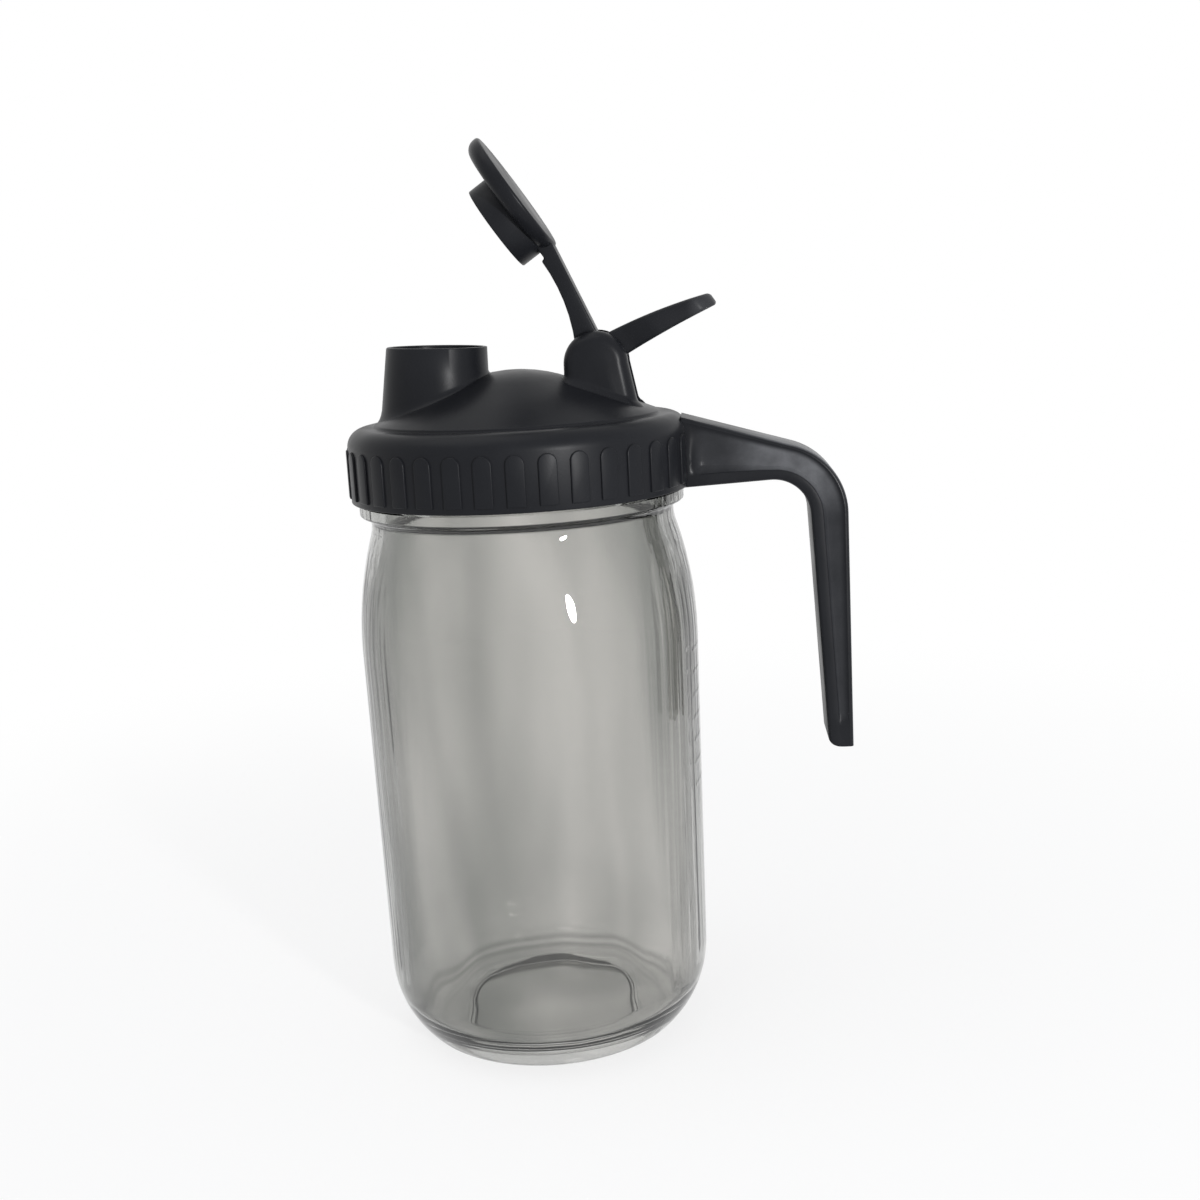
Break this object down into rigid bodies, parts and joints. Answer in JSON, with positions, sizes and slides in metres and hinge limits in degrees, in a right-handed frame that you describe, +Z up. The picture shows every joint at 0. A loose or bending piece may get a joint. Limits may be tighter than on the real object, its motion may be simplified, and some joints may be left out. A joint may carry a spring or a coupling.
{
  "type": "jar pitcher",
  "caption": "Glass mason jar pitcher with a black screw lid that carries a pouring spout, a side handle and a hinged flip cap with a thumb lever.",
  "frame": {"origin": "centre of the jar's foot ring, on the table plane and the jar's axis", "axes": "+Z up along the jar's axis, +X from the jar's axis towards the handle, +Y completes a right-handed frame; the pouring spout is on the -X side"},
  "size_m": [0.1349, 0.0934, 0.247],
  "materials": {
    "clear_glass": "clear, smooth, faintly green-grey",
    "black_polypropylene": "semi-gloss moulded plastic"
  },
  "bodies": {
    "jar_body": {"jar": "clear_glass", "lid": "black_polypropylene"},
    "cap": {"flip_cap": "black_polypropylene"}
  },
  "joints": [
    {"name": "cap_hinge", "type": "hinge", "parent": "jar_body", "child": "cap", "pos_m": [0.0234, 0, 0.1876], "axis": [0, 1, 0], "range_deg": [-53.9, 33.7]}
  ]
}
